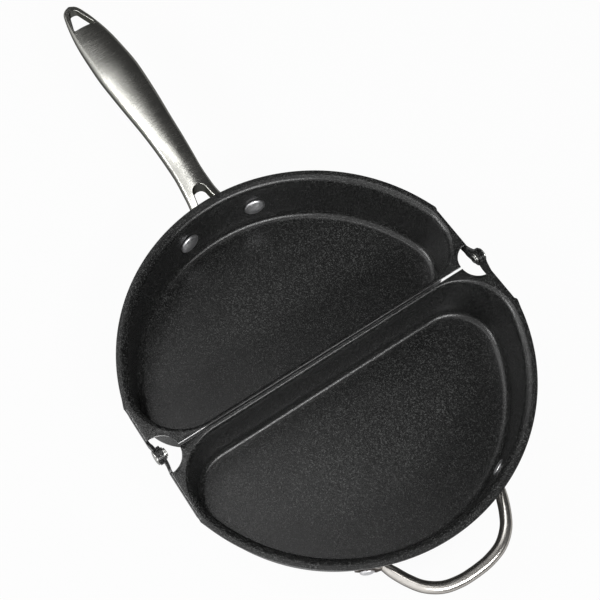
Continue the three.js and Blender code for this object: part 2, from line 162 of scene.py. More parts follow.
def noise(tree, scale, roughness, stretch=None):
    """Value of a Noise texture; stretch scales the coordinates first, so the grain grows long."""
    place = add_node(tree, "TexCoord", {})["Object"]
    if stretch:
        place = add_node(tree, "Mapping", {"Vector": place, "Scale": stretch})["Vector"]
    return add_node(tree, "TexNoise", {"Vector": place, "Scale": scale, "Detail": NOISE_DETAIL,
                                       "Roughness": roughness})["Fac"]


def ramp(tree, value, low, high, start=0.0, end=1.0):
    """The value mapped from the range low to high onto the range start to end."""
    return add_node(tree, "MapRange", {"Value": value, "From Min": low, "From Max": high,
                                       "To Min": start, "To Max": end})["Result"]


def sum_of(tree, first, second, operation="ADD"):
    """Two values added, or joined by another operation of a Math node."""
    node = tree.nodes.new("ShaderNodeMath")
    node.operation = operation
    set_inputs(tree, node, {0: first, 1: second})
    return node.outputs["Value"]


def blend_colours(tree, share, first, second):
    """Colour that goes from the first to the second as share goes from 0 to 1."""
    node = tree.nodes.new("ShaderNodeMix")
    node.data_type = "RGBA"
    set_inputs(tree, node, {"Factor": share, "A": first, "B": second})
    return node.outputs["Result"]


def bump(tree, shader, height, depth, strength):
    """Tilts the surface's normal by a height pattern whose full range is depth, in metres."""
    tilt = add_node(tree, "Bump", {"Height": height, "Distance": depth, "Strength": strength})
    set_inputs(tree, shader, {"Normal": tilt["Normal"]})


def painted_flank_shade(tree, colour, dark, low, high):
    """Painted shade: the colour turns dark where the piece's surface faces sideways or down."""
    direction = add_node(tree, "TexCoord", {})["Normal"]
    upward = add_node(tree, "SeparateXYZ", {"Vector": direction})["Z"]
    return blend_colours(tree, ramp(tree, upward, low, high), dark, colour)


def ray_kinds(tree):
    """Whether a ray comes from the camera, and whether it is a reflection, as 0 or 1."""
    path = add_node(tree, "LightPath", {})
    mirrored = sum_of(tree, path["Is Glossy Ray"], path["Is Transmission Ray"])
    return path["Is Camera Ray"], mirrored


print("node helpers ready")

# %% [markdown]
# The non-stick coating is almost black, with tiny lighter flecks and a surface like fine orange
# peel. One very fine noise makes the flecks and the bump, so the two agree, and a coarser,
# fainter one makes the uneven spray.

# %% Non-stick coating
def coating_finish():
    """Near-black satin coat: base colour from two noises, bump and roughness from the fine one."""
    finish, tree, shader = new_finish("nonstick_coating")
    flecks = noise(tree, 1350.0, 0.8)
    clouds = ramp(tree, noise(tree, 70.0, 0.55), *NOISE_SPAN, 0.0, 0.30)
    speckled = blend_colours(
        tree, ramp(tree, flecks, 0.53, 0.60), (0.003, 0.003, 0.003), (0.090, 0.092, 0.090))
    set_inputs(tree, shader, {
        "Base Color": blend_colours(tree, clouds, speckled, (0.012, 0.012, 0.012)),
        "Roughness": ramp(tree, flecks, *NOISE_SPAN, 0.31, 0.22),
        "Specular IOR Level": 0.45,
    })
    bump(tree, shader, flecks, 0.00010, 0.8)
    return finish


coating = coating_finish()
print("made", coating.name)

# %% [markdown]
# The long handle is stainless steel, brushed across and then softly polished. Fine scratches
# across the handle draw each reflection out along it, so the noise changes slowly along X and
# quickly along Y. The flanks and the under side get painted shade, a darker grey wherever the
# piece's own normal faces sideways or down.

# %% Brushed steel of the handle
def brushed_finish():
    """Metal whose roughness and bump follow a noise drawn out across the handle."""
    finish, tree, shader = new_finish("brushed_handle_steel")
    scratches = noise(tree, 2400.0, 0.6, (0.05, 1.0, 0.3))
    rough = ramp(tree, scratches, *NOISE_SPAN, 0.20, 0.28)
    wear = ramp(tree, noise(tree, 60.0, 0.5), *NOISE_SPAN, -0.03, 0.03)
    crown = blend_colours(tree, scratches, (0.54, 0.535, 0.50), (0.70, 0.695, 0.65))
    set_inputs(tree, shader, {
        # Painted shade: the flanks and the under side turn dark grey.
        "Base Color": painted_flank_shade(tree, crown, (0.18, 0.18, 0.165), 0.50, 0.86),
        "Metallic": 1.0,
        "Specular Tint": (0.25, 0.25, 0.24),
        "Roughness": sum_of(tree, rough, wear),
    })
    bump(tree, shader, scratches, 0.00008, 1.0)
    return finish


brushed = brushed_finish()
print("made", brushed.name)

# %% [markdown]
# The loop is polished steel with painted shade on its flanks, the rivets are satin aluminium,
# the hinge rivets plain bright steel, and the cut edge of the sheet is bare aluminium. One
# function makes all four, as only numbers differ.

# %% Polished loop, bare edge, satin rivets and hinge steel
def metal_finish(name, dark, light, smooth, rough, grain, relief, flank=None):
    """Metal with a fine even grain that moves its colour and roughness between two values."""
    finish, tree, shader = new_finish(name)
    fine = noise(tree, grain, 0.6)
    tone = blend_colours(tree, ramp(tree, fine, *NOISE_SPAN), dark, light)
    if flank:
        # Painted shade: the flanks turn towards the dark flank colour.
        tone = painted_flank_shade(tree, tone, flank, 0.05, 0.45)
        set_inputs(tree, shader, {"Specular Tint": (0.30, 0.29, 0.28)})
    set_inputs(tree, shader, {"Base Color": tone, "Metallic": 1.0,
                              "Roughness": ramp(tree, fine, *NOISE_SPAN, smooth, rough)})
    bump(tree, shader, fine, relief, 0.3)
    return finish


# The loop's flank colour is painted shade on its sides and under side.
polished = metal_finish("polished_loop_steel", (0.66, 0.63, 0.59), (0.76, 0.73, 0.69),
                        0.24, 0.27, 260.0, 0.000003, flank=(0.22, 0.20, 0.19))
bare_edge = metal_finish("bare_cut_edge", (0.30, 0.30, 0.30), (0.46, 0.46, 0.46),
                         0.35, 0.50, 2500.0, 0.000012)
satin = metal_finish("satin_rivet", (0.66, 0.66, 0.68), (0.95, 0.95, 0.96),
                     0.32, 0.52, 900.0, 0.000120)
hinge_steel = metal_finish("hinge_steel", (0.36, 0.36, 0.35), (0.62, 0.62, 0.60),
                           0.20, 0.34, 1500.0, 0.000020)
print("made", polished.name, bare_edge.name, satin.name, hinge_steel.name)

# %% [markdown]
# ## The pressed half
# Both halves come from the same press tool, so the second is the first after half a turn. It
# starts as a single surface, like the blank of a real one, and gets its thickness at the end
# from Solidify. The well is a stack of level lines, each a D: a straight side along the seam, a
# round corner at each end and a large arc. Beside the seam there is only room for SEAM_SHARE of
# the shoulder's width.

# %% Sizes of the well and its rim
SHEET = 1.8
RIM_RADIUS, RIM_CENTRE = 117.5, 7.6
WELL_RADIUS, SEAM_WALL, WELL_CORNER = 110.7, 3.7, 28.4
WELL_DEPTH, SHOULDER, FLOOR_ROUND = 41.0, 4.5, 4.6
SEAM_SHARE = 0.58
ROUND_DRAFT, SEAM_DRAFT = 0.7, 1.4
LIP, EAR_LAP = 0.6, 1.05
FLAT_PLACE, BEND, RIDGE = 113.2, 1.4, 0.5
NOTCH_RADIUS, NOTCH_PLACE = 11.5, 111.2


def on_circle(x, y, radius, angle):
    """Points in plan on a circle about x, y, one for each angle."""
    return np.column_stack([x + radius * np.cos(angle), y + radius * np.sin(angle)])


def line(start, end, count):
    """Evenly spread points in plan from start to end, without the last one."""
    return np.linspace(start, end, count, endpoint=False)


def quarter_turn(count):
    """So many angles from 0 to a right angle."""
    return np.linspace(0.0, math.pi / 2, count)


def corner_of(radius, side, corner):
    """Centre of the D's right corner, and the angle at which its large arc takes over."""
    y = side + corner
    x = math.sqrt((radius - corner) ** 2 - (y - RIM_CENTRE) ** 2)
    return x, y, math.atan2(y - RIM_CENTRE, x)


def flat_x(end):
    """Outer face of the flat: the inner ear's end lies further in than the outer ear's."""
    return FLAT_PLACE - end * EAR_LAP


def bend_beside(x):
    """How far from the middle the bend line lies on the side of each x."""
    return np.where(x > 0, flat_x(1), flat_x(-1)) - BEND


CORNER_X, CORNER_Y, TURN = corner_of(WELL_RADIUS, SEAM_WALL, WELL_CORNER)
print(f"corner centre {CORNER_X:.2f}, {CORNER_Y:.2f}, turn {math.degrees(TURN):.1f} degrees")

# %% [markdown]
# The outline of the flat rim is a straight lip along the seam, a round notch at each end, a
# straight flat where the rim will be bent down, and the large arc. It and the D inside it are
# cut by the same rays, so that the cells between them don't slant: rays from a corner's centre
# round the corner, and rays from the arc's centre elsewhere. One ray meets each kink exactly.

# %% Rays that cut both outlines
SEAM_POINTS, LIP_RAYS, NOTCH_RAYS = 72, 16, 18
# Where the flat reaches past the corner: its rays up to there, its rays beyond, and the arc's.
LONG_FLAT, BEYOND_CORNER, SHORT_ARC = 34, 6, 90
# Where it ends before: its rays, those left to the corner's end, and the arc's.
SHORT_FLAT, CORNER_REST, LONG_ARC = 36, 2, 94


def spread(stops, counts):
    """Angles that run through the stops, with so many steps between each two of them."""
    parts = [np.linspace(a, b, n, endpoint=False) for a, b, n in zip(stops, stops[1:], counts)]
    return np.concatenate(parts)


def kinks(end):
    """Where the rim's outline bends: the notch's start, its foot, and the flat's far end."""
    bend_x = flat_x(end) - BEND
    start = NOTCH_PLACE - math.sqrt(NOTCH_RADIUS ** 2 - LIP ** 2)
    foot = math.sqrt(NOTCH_RADIUS ** 2 - (bend_x - NOTCH_PLACE) ** 2)
    top = RIM_CENTRE + math.sqrt(RIM_RADIUS ** 2 - bend_x ** 2)
    return (start, LIP), (bend_x, foot), (bend_x, top)


def rays(end):
    """Angles about the corner and about the arc's centre, and the columns of foot and top."""
    start, foot, top = kinks(end)
    about_corner = [math.atan2(y - CORNER_Y, x - CORNER_X) for x, y in (start, foot, top)]
    about_arc = math.atan2(top[1] - RIM_CENTRE, top[0])
    first = LIP_RAYS + NOTCH_RAYS
    if about_arc > TURN:
        corner = spread([-math.pi / 2, *about_corner[:2], TURN], [LIP_RAYS, NOTCH_RAYS, LONG_FLAT])
        outer = spread([TURN, about_arc, math.pi / 2], [BEYOND_CORNER, SHORT_ARC])
        return corner, outer, first, first + LONG_FLAT + BEYOND_CORNER
    corner = spread([-math.pi / 2, *about_corner, TURN],
                    [LIP_RAYS, NOTCH_RAYS, SHORT_FLAT, CORNER_REST])
    return corner, spread([TURN, math.pi / 2], [LONG_ARC]), first, first + SHORT_FLAT


ray_sets = {end: rays(end) for end in (1, -1)}
print("rays on each side:", [len(corner) + len(outer) for corner, outer, *_ in ray_sets.values()])

# %% [markdown]
# A level line of the well is where those rays meet its D, and the rim's line is where they
# meet the lip, the notch, the flat or the large arc.

# %% Level lines and the rim's outline
def closed_line(corner_x, seam_y, right, left, z):
    """Seam, right side and the mirrored left side as one closed line at a height."""
    seam = line((-corner_x, seam_y), (corner_x, seam_y), SEAM_POINTS)
    plan = np.concatenate([seam, right, left[1:-1][::-1] * [-1.0, 1.0]])
    return np.column_stack([plan, np.full(len(plan), z)])


def d_side(radius, side, corner, end):
    """Points of a D on one side, from the seam's end to the middle of the large arc."""
    x, y, turn = corner_of(radius, side, corner)
    about_corner, about_arc = ray_sets[end][:2]
    a = -math.pi / 2 + (about_corner + math.pi / 2) * (turn + math.pi / 2) / (TURN + math.pi / 2)
    b = math.pi / 2 - (math.pi / 2 - about_arc) * (math.pi / 2 - turn) / (math.pi / 2 - TURN)
    b = np.append(b, math.pi / 2)
    return np.concatenate([on_circle(x, y, corner, a), on_circle(0.0, RIM_CENTRE, radius, b)])


def rim_side(end):
    """Where the same rays meet the rim's outline: lip, notch, bend line, then the large arc."""
    start, foot, top = kinks(end)
    about_corner, about_arc = ray_sets[end][:2]
    about_arc = np.append(about_arc, math.pi / 2)
    centre = np.concatenate([np.full((len(about_corner), 2), [CORNER_X, CORNER_Y]),
                             np.full((len(about_arc), 2), [0.0, RIM_CENTRE])])
    angle = np.concatenate([about_corner, about_arc])
    way = np.column_stack([np.cos(angle), np.sin(angle)])

    def to_circle(x, y, radius, side):
        """Length of each ray to where it enters (side -1) or leaves (side 1) a circle."""
        across = centre - [x, y]
        middle = -(across * way).sum(1)
        reach = np.sqrt(np.maximum(middle ** 2 - (across ** 2).sum(1) + radius ** 2, 0.0))
        return middle + side * reach

    lip = (LIP - centre[:, 1]) / np.minimum(way[:, 1], -1e-6)
    flat = (top[0] - centre[:, 0]) / np.maximum(way[:, 0], 1e-6)
    notch = to_circle(NOTCH_PLACE, 0.0, NOTCH_RADIUS, -1)
    outer = to_circle(0.0, RIM_CENTRE, RIM_RADIUS, 1)
    column = np.arange(len(angle))
    first_foot, first_top = ray_sets[end][2:]
    length = np.select([column < LIP_RAYS, column < first_foot, column <= first_top],
                       [lip, notch, flat], outer)
    return centre + way * length[:, None]


def level(z, grow, share):
    """Level line of the wall at a height, widened by grow, narrowed by a share of the draft."""
    beside_seam = grow * (SEAM_SHARE if grow > 0.0 else 1.0)
    sizes = (WELL_RADIUS - ROUND_DRAFT * share + grow,
             SEAM_WALL + SEAM_DRAFT * share - beside_seam,
             WELL_CORNER - ROUND_DRAFT * share + grow)
    corner_x = corner_of(*sizes)[0]
    return closed_line(corner_x, sizes[1], d_side(*sizes, 1), d_side(*sizes, -1), z)


rim = closed_line(CORNER_X, LIP, rim_side(1), rim_side(-1), 0.0)
print("points on a line:", len(rim), "flat rim is", np.ptp(rim[:, 0]).round(1), "mm wide")

# %% [markdown]
# From the middle outwards the rows are the flat floor, which is its edge line drawn in towards
# a point, the round up into the wall, the drafted wall, and the round shoulder that turns into
# the rim. Both rounds are quarter circles seen from the side, but beside the seam the shoulder
# is narrower than high, a quarter ellipse. Where the well's corner comes close to the bend of a
# flat, the shoulder is drawn in, so that a narrow ridge stays between the two.

# %% Rows of the well
FLOOR_POLE = np.array([0.0, 54.0, -WELL_DEPTH])
FLOOR_SHARES = np.array([0.0, 0.12, 0.3, 0.5, 0.7, 0.86, 0.96])
ROUND_POINTS, WALL_POINTS = 11, 8
CUT_BREAK = 0.3


def well_rows():
    """Level lines stacked from the floor's middle to the top of the shoulder."""
    edge = level(-WELL_DEPTH, -FLOOR_ROUND, 1.0)
    floor = FLOOR_POLE + (edge - FLOOR_POLE) * FLOOR_SHARES[:, None, None]
    low, high = FLOOR_ROUND - WELL_DEPTH, -SHOULDER
    turns = quarter_turn(ROUND_POINTS)
    foot = [level(low - FLOOR_ROUND * math.cos(a), -FLOOR_ROUND * (1 - math.sin(a)), 1.0)
            for a in turns]
    wall = [level(low + (high - low) * s, 0.0, 1.0 - s)
            for s in np.linspace(0.0, 1.0, WALL_POINTS)[1:]]
    top = [level(-SHOULDER * (1 - math.sin(a)), SHOULDER * (1 - math.cos(a)), 0.0)
           for a in turns[1:]]
    return np.concatenate([floor, foot, wall, top])


def beside_bend(rows):
    """The shoulder's rows drawn in towards the well wherever its top would reach the bend."""
    top_x = rows[-1, :, 0]
    excess = np.maximum(np.abs(top_x) - (bend_beside(top_x) - RIDGE), 0.0) * np.sign(top_x)
    share = np.clip(1.0 + rows[..., 2] / SHOULDER, 0.0, 1.0) ** 0.5
    on_shoulder = np.arange(len(rows))[:, None] > len(rows) // 2
    moved = rows.copy()
    moved[..., 0] -= excess * np.where(on_shoulder, share, 0.0)
    return moved


def to_the_rim(rows):
    """The rows, a line just inside the rim's outline, and the outline with its cut edge broken."""
    inward = rows[-1] - rim
    length = np.linalg.norm(inward, axis=1, keepdims=True)
    inner = rim + inward * np.minimum(CUT_BREAK / length, 0.5)
    outer = rim.copy()
    before_bend = np.abs(rim[:, 0]) < bend_beside(rim[:, 0]) - 1e-6
    outer[(rim[:, 1] < NOTCH_RADIUS) & before_bend, 2] -= CUT_BREAK
    return np.concatenate([rows, inner[None], outer[None]])


dish = to_the_rim(beside_bend(well_rows()))
print("rows and columns of the dish:", dish.shape[:2])

# %% [markdown]
# Along each flat the rim is bent down to a short skirt, which fades out towards the far corner.
# The strip beyond the bend line is a second grid. Near the seam each of its columns follows a
# quarter circle and runs straight down. Near the corner a column lies flat and reaches out to
# the arc. In between the two profiles are mixed.

# %% Bent strip beyond each flat
SKIRT, SKIRT_FADE, SKIRT_END = 7.0, 5.0, 1.0
CORNER_PROUD, CORNER_REACH, PROUD_FADE = {1: 0.2, -1: 0.5}, 7.0, 1.3
FLAT_START, FLAT_END, REACH_SOFTNESS = 4.0, 0.2, 0.12
BEND_STEPS, SKIRT_STEPS = 6, 5


def smooth_step(value, start, end):
    """0 before start, 1 after end, and a soft S between them."""
    share = np.clip((value - start) / (end - start), 0.0, 1.0)
    return share * share * (3.0 - 2.0 * share)


def soft_least(first, second, softness):
    """The smaller of two values, with a round turn from one to the other."""
    return -softness * np.log(np.exp(-first / softness) + np.exp(-second / softness))


def bent_strip(end):
    """Rows from the bend line to the free edge, a column for each point of the rim's flat."""
    foot, top = ray_sets[end][2:]
    if end > 0:
        columns = rim[SEAM_POINTS + foot:SEAM_POINTS + top + 1]
    else:
        columns = rim[len(rim) - top:len(rim) - foot + 1][::-1]
    y = columns[:, 1]
    bend_x = flat_x(end) - BEND
    corner = RIM_CENTRE + math.sqrt(RIM_RADIUS ** 2 - flat_x(end) ** 2)
    circle = np.sqrt(np.maximum(RIM_RADIUS ** 2 - (y - RIM_CENTRE) ** 2, bend_x ** 2)) - bend_x
    before = np.exp(-(np.minimum(y - corner, 0.0) / CORNER_REACH) ** 2)
    after = (1.0 - np.clip((y - corner) / (y[-1] - corner), 0.0, 1.0)) ** PROUD_FADE
    proud = CORNER_PROUD[end] * before * after
    reach = np.maximum(soft_least(circle, BEND, REACH_SOFTNESS), 0.0) + proud
    reach[-1] = 0.0
    depth = SKIRT - (SKIRT - BEND) * smooth_step(y, corner - SKIRT_FADE, corner - SKIRT_END)
    flatness = smooth_step(y, corner - FLAT_START, corner + FLAT_END)
    angle = quarter_turn(BEND_STEPS + 1)[:, None]
    down = np.linspace(0.0, 1.0, SKIRT_STEPS + 1)[1:, None]
    out = np.concatenate([BEND * np.sin(angle) + 0.0 * y, BEND + 0.0 * down * y])
    drop = np.concatenate([BEND * (1 - np.cos(angle)) + 0.0 * y, BEND + down * (depth - BEND)])
    along = np.linspace(0.0, 1.0, BEND_STEPS + SKIRT_STEPS + 1)[:, None]
    x = bend_x + out * (1 - flatness) + along * reach * flatness
    return np.stack([end * x, y + 0.0 * x, -drop * (1 - flatness)], axis=-1)


strips = {end: bent_strip(end) for end in (1, -1)}
print("strip depth at the seam end:", -strips[1][-1, 0, 2].round(2), "mm")

# %% [markdown]
# The hinge ear is the skirt carried on past the notch. It steps inwards by a third of the
# sheet and ends in a round eye with the hole for the rivet. A polar grid about the rivet's axis
# fits it, and its first columns start on the points of the strip's own end.

# %% Hinge ears
EYE_RADIUS, HOLE_RADIUS = 5.1, 2.3
STRAP_END, STRAP_TOP = 9.5, -0.4
EAR_JOG, JOG_START, JOG_END = 0.6, 10.0, 6.0
EYE_POINTS, UNDER_POINTS, TOP_POINTS, ROOT_POINTS, EAR_RINGS = 30, 8, 5, 3, 6


def tangent_angle(y, z, side):
    """Angle on the eye's circle where a straight edge from the point touches it."""
    height = z - PIVOT_RISE
    return math.atan2(height, y) + side * math.acos(EYE_RADIUS / math.hypot(y, height))


def ear(end):
    """Polar grid about the rivet's axis, its outer row running round the ear's outline."""
    root = strips[end][BEND_STEPS:, 0, 1:]
    over = tangent_angle(STRAP_END, STRAP_TOP, 1)
    under = tangent_angle(*root[-1], -1) + 2 * math.pi
    eye = on_circle(0.0, PIVOT_RISE, EYE_RADIUS, np.linspace(under, over, EYE_POINTS + 1))
    strap = (STRAP_END, STRAP_TOP)
    outline = np.concatenate([
        root[:-1], line(root[-1], eye[0], UNDER_POINTS), eye[:-1],
        line(eye[-1], strap, TOP_POINTS), line(strap, root[0], ROOT_POINTS), root[:1],
    ])
    from_axis = outline - [0.0, PIVOT_RISE]
    hole = from_axis / np.linalg.norm(from_axis, axis=1, keepdims=True) * HOLE_RADIUS
    share = np.linspace(1.0, 0.0, EAR_RINGS)[:, None, None]
    flat = hole + (from_axis - hole) * share + [0.0, PIVOT_RISE]
    x = flat_x(end) - EAR_JOG * (1 - smooth_step(flat[..., 0], JOG_END, JOG_START))
    return np.concatenate([end * x[..., None], flat], axis=-1)


ears = {end: ear(end) for end in (1, -1)}
print("the right eye's outer face lies at x", ears[1][0, 20, 0].round(2))

# %% [markdown]
# The dish, the strips and the ears are welded into one sheet, and Solidify thickens it on its
# under side. Bevel then breaks the cut edges by a fifth of a millimetre, because the thin line
# of light along the rim comes from that small round. The lip and the notches are cut after
# coating, so their edge shows bare metal. Solidify gives edge faces the next material in the
# list, so the list holds each finish twice.

# %% Both halves of the pan
EDGE_BREAK, EDGE_ANGLE = 0.2, 50.0
BARE_REACH, BARE_TOP = 0.8 * CUT_BREAK, 0.02


def half_mesh(name, turned):
    """One pressed half as an open sheet with its normals turned up and out of the metal."""
    patches = [(dish, True), *((strip, False) for strip in strips.values()),
               *((side, False) for side in ears.values())]
    mesh = mesh_of(name, patches, turned)
    rim_face = max(mesh.polygons, key=lambda face: face.center.z - abs(1.0 - abs(face.normal.z)))
    if rim_face.normal.z < 0:
        mesh.flip_normals()
    return mesh


def bare_beside_seam(mesh):
    """Material 2 on the broken edge of the lip and the notches, and material 0 on the rest."""
    centres = np.zeros(3 * len(mesh.polygons))
    mesh.polygons.foreach_get("center", centres)
    x, y, z = (np.abs(centres.reshape(-1, 3) - rim_origin) / MILLIMETRE).T
    on_lip = y < LIP + BARE_REACH
    on_notch = np.hypot(x - NOTCH_PLACE, y) < NOTCH_RADIUS + BARE_REACH
    on_break = (z > BARE_TOP) & (z < CUT_BREAK) & (x < FLAT_PLACE - BEND + EAR_LAP)
    bare = (on_lip | on_notch) & on_break
    mesh.polygons.foreach_set("material_index", np.where(bare, 2, 0).astype(np.int32))
    print("faces of bare edge:", int(bare.sum()))


def add_half(name, node, turned=False):
    """The pressed half with its wall thickness and broken edges."""
    piece = add_piece(name, half_mesh(name, turned), node, coating, 60.0)
    for finish in (coating, bare_edge, bare_edge):
        piece.data.materials.append(finish)
    bare_beside_seam(piece.data)
    wall = piece.modifiers.new("sheet", "SOLIDIFY")
    wall.thickness = SHEET * MILLIMETRE
    wall.offset = -1.0
    wall.use_even_offset = wall.use_quality_normals = True
    wall.material_offset_rim = 1
    edges = piece.modifiers.new("broken_edges", "BEVEL")
    edges.width = EDGE_BREAK * MILLIMETRE
    edges.segments = 2
    edges.limit_method = "ANGLE"
    edges.angle_limit = math.radians(EDGE_ANGLE)
    edges.harden_normals = True


add_half("base_half_sheet", "base_half")
add_half("flip_half_sheet", "flip_half", turned=True)

# %% [markdown]
# ## The long handle
# It grows out of two arms under the rim, rises, widens into a grip and narrows to a round tip
# with a hang hole. Its line and its widths are a short table with a smooth curve through it.

# %% Course of the handle
HANDLE_START, HANDLE_LENGTH = 119.0, 193.0
HANDLE_LOW, HANDLE_HIGH = -20.0, -2.6
GRIP_HALF_WIDTH, GRIP_CROWN, GRIP_DEPTH = 14.2, 5.0, 7.0
HANDLE_SHARES = np.array([
    [0.000, 0.00, 1.08, 0.86], [0.050, 0.03, 0.91, 0.85], [0.100, 0.10, 0.77, 0.84],
    [0.146, 0.25, 0.71, 0.84], [0.188, 0.42, 0.68, 0.84], [0.234, 0.60, 0.70, 0.84],
    [0.300, 0.78, 0.74, 0.84], [0.385, 0.89, 0.80, 0.88], [0.493, 0.97, 0.91, 0.95],
    [0.602, 1.00, 0.99, 1.00], [0.659, 0.99, 1.00, 1.00], [0.726, 0.94, 0.96, 0.95],
    [0.794, 0.88, 0.90, 0.86], [0.856, 0.81, 0.80, 0.74], [0.918, 0.73, 0.65, 0.60],
    [0.953, 0.67, 0.54, 0.53], [0.977, 0.63, 0.45, 0.49], [0.991, 0.61, 0.34, 0.47],
    [0.998, 0.60, 0.19, 0.45], [1.000, 0.60, 0.00, 0.44],
])


def through(rows, share):
    """Catmull-Rom curve through the rows, with share running evenly from 0 at the first to 1."""
    place = share * (len(rows) - 1)
    before = np.minimum(place.astype(int), len(rows) - 2)
    t = (place - before)[:, None]
    a, b, c, d = (rows[np.clip(before + step, 0, len(rows) - 1)] for step in (-1, 0, 1, 2))
    u, v = (c - a) / 2, (d - b) / 2
    return (2 * b - 2 * c + u + v) * t ** 3 + (3 * c - 3 * b - 2 * u - v) * t ** 2 + u * t + b


course = through(HANDLE_SHARES, np.linspace(0.0, 1.0, 1500))
course_y = HANDLE_START + HANDLE_LENGTH * course[:, 0]


def handle_at(y):
    """Height of the widest line, half the width, crown and depth of the handle at each y."""
    rise, width, thick = (np.interp(y, course_y, course[:, column]) for column in (1, 2, 3))
    height = HANDLE_LOW + (HANDLE_HIGH - HANDLE_LOW) * rise
    return height, np.maximum(GRIP_HALF_WIDTH * width, 0.01), GRIP_CROWN * thick, GRIP_DEPTH * thick


print("grip is", round(2 * handle_at(np.array([246.0]))[1][0], 1), "mm wide")

# %% [markdown]
# Two openings go through the handle: the fork between the arms and the hang hole. Boolean
# would leave ragged cells, so there are two grids instead, left and right of the middle line,
# and each starts at the opening's half width. The rows therefore lie on the outlines.

# %% Half widths of the two openings
ARM_START, FORK_FLARE, FORK_HALF_WIDTH, FORK_TOP = 121.0, 8.6, 4.6, 140.2
HOLE_START, HOLE_LENGTH, HOLE_HALF_WIDTH = 287.5, 19.5, 7.4
HOLE_CORNER, HOLE_TIP = 1.6, 3.0
ARM_ROWS, ROUND_ROWS, GRIP_ROWS, SIDE_ROWS, TIP_ROWS = 18, 14, 90, 12, 16
ROW_GAP = 0.02


def openings():
    """Rows of y and half width, from the arms to the handle's tip, zero where nothing is open."""
    arms = np.linspace([ARM_START, FORK_FLARE], [FORK_TOP, FORK_HALF_WIDTH], ARM_ROWS)
    arch = on_circle(0.0, FORK_TOP, FORK_HALF_WIDTH, quarter_turn(ROUND_ROWS)[1:])[:, ::-1]
    base_y, base_x = HOLE_START + HOLE_CORNER, HOLE_HALF_WIDTH - HOLE_CORNER
    tip_y = HOLE_START + HOLE_LENGTH - HOLE_TIP
    lean = math.atan2(base_x, tip_y - base_y)
    turn = np.linspace(-math.pi / 2, lean, ROUND_ROWS)
    corner = on_circle(base_x, base_y, HOLE_CORNER, turn)[:, ::-1]
    corner[0, 0] += ROW_GAP
    turn = np.linspace(lean, math.pi / 2, TIP_ROWS)
    tip = on_circle(0.0, tip_y, HOLE_TIP, turn)[:, ::-1]
    side = np.linspace(corner[-1], tip[0], SIDE_ROWS)[1:-1]
    grip_y = np.linspace(arch[-1, 0], HOLE_START, GRIP_ROWS)[1:]
    rest = HANDLE_START + HANDLE_LENGTH - tip[-1, 0]
    end_y = tip[-1, 0] + rest * np.sin(quarter_turn(TIP_ROWS))
    grip, end = (np.column_stack([y, np.zeros_like(y)]) for y in (grip_y, end_y))
    rows = np.concatenate([arms, arch, grip, corner, side, tip, end])
    rows[np.abs(rows[:, 1]) < 1e-9, 1] = 0.0
    return rows


slots = openings()
print("rows along the handle:", len(slots), "y from", slots[0, 0], "to", slots[-1, 0].round(1))

# %% [markdown]
# Across the handle the upper side is a low crown that ends in an arris, the fine ridge that
# catches the light all along the edge, and drops in a steep flank. The under side is a rounded
# box. Both are heights over the share of the half width. An opening's rim is a quarter circle.

# %% Cross-section of the handle
ARRIS_SHARE, ARRIS_DROP, FLANK_POWER = 0.84, 0.36, 0.6
LIP_ROUND, LIP_LIMIT = 0.7, 0.4
UNDER_POWER, EDGE_CROWDING = 3.2, 1.8
LIP_COLUMNS, CROWN_COLUMNS, FLANK_COLUMNS, WALL_ROWS = 5, 13, 9, 5


def crown_height(share):
    """Height of the upper side, 1 in the middle and 0 at the edge, with a ridge at the arris."""
    crown = 1.0 - ARRIS_DROP * (share / ARRIS_SHARE) ** 2
    flank = np.clip((1.0 - share) / (1.0 - ARRIS_SHARE), 0.0, 1.0)
    return np.where(share < ARRIS_SHARE, crown, (1.0 - ARRIS_DROP) * flank ** FLANK_POWER)


def under_height(share):
    """Depth of the under side, 1 in the middle and 0 at the edge."""
    return (1.0 - np.clip(share, 0.0, 1.0) ** UNDER_POWER) ** (1.0 / UNDER_POWER)


def handle_sides():
    """Upper side, under side and opening wall of the right half, as grids of x, y, z."""
    y, opening = slots[:, :1], slots[:, 1:]
    height, half, crown, depth = handle_at(y)
    lip = np.minimum(LIP_ROUND, LIP_LIMIT * opening)
    turn = quarter_turn(LIP_COLUMNS)
    inner = opening + lip * (1.0 - np.cos(turn))
    drop = lip * (1.0 - np.sin(turn))
    ridge = np.maximum(ARRIS_SHARE * half, inner[:, -1:] + ROW_GAP)
    crest = np.linspace(0.0, 1.0, CROWN_COLUMNS)[1:]
    middle = inner[:, -1:] + (ridge - inner[:, -1:]) * crest
    flank = 1.0 - np.linspace(1.0, 0.0, FLANK_COLUMNS)[1:] ** EDGE_CROWDING
    x = np.concatenate([inner, middle, ridge + (half - ridge) * flank], axis=1)
    drop = np.concatenate([drop, np.zeros((len(y), x.shape[1] - LIP_COLUMNS))], axis=1)
    share = np.clip(x / half, 0.0, 1.0)
    top = height + crown * crown_height(share) - drop
    bottom = height - depth * under_height(share) + drop
    wall_z = bottom[:, :1] + (top[:, :1] - bottom[:, :1]) * np.linspace(0.0, 1.0, WALL_ROWS)
    plan = y + 0.0 * x
    return (np.stack([x, plan, top], -1), np.stack([x, plan, bottom], -1),
            np.stack([opening + 0.0 * wall_z, y + 0.0 * wall_z, wall_z], -1))


upper, under, opening_wall = handle_sides()
print("columns across half the handle:", upper.shape[1])

# %% [markdown]
# The handle is riveted on through a plate that hugs the round wall. The plate is a stadium, and
# the profile carried along it goes over the outer face, round the edge and back.

# %% End plate on the wall
SEAT_GAP, PLATE_THICKNESS, PLATE_EDGE = 0.2, 3.0, 0.8
PLATE_HALF_SPAN, PLATE_HALF_HEIGHT, RIVET_HEIGHT = 33.0, 9.5, -20.0
END_POINTS, EDGE_POINTS, FACE_POINTS = 25, 5, 7
WALL_SPAN = WELL_DEPTH - FLOOR_ROUND - SHOULDER


